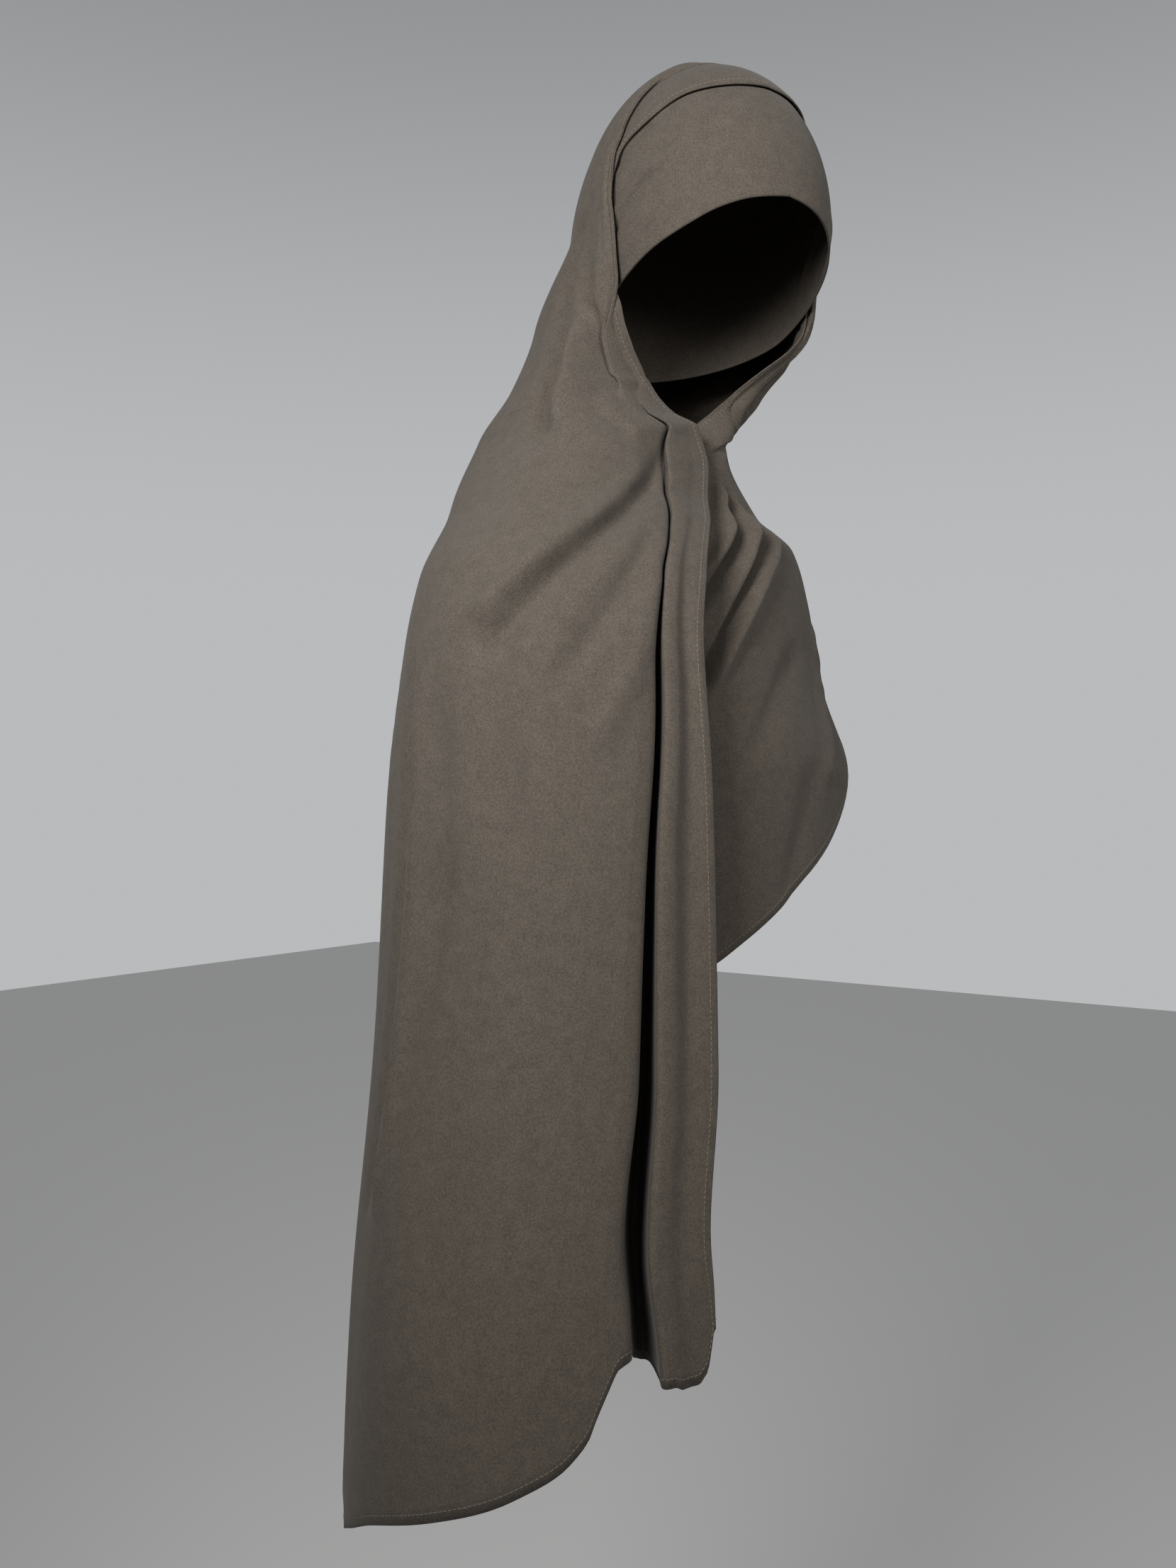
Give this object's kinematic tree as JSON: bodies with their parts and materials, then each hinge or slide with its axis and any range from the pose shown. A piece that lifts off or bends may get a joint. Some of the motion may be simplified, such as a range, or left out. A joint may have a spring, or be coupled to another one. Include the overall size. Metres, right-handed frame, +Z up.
{
  "type": "hijab",
  "caption": "Long jersey hijab as worn: a fitted under-cap and a large draped sheet that frames the face, gathers under the jaw, falls over one arm and wraps across the chest",
  "frame": {"origin": "the top of the head, on the inside of the under-cap's crown", "axes": "+Z up, -Y the way the wearer's body faces, -X the wearer's right side, where the long panel falls"},
  "size_m": [0.4493, 0.2801, 0.9085],
  "materials": {
    "cap_jersey": "matt fine jersey knit",
    "veil_jersey": "matt fine jersey knit"
  },
  "bodies": {
    "root": {"under_cap": "cap_jersey", "veil": "veil_jersey"}
  },
  "joints": []
}
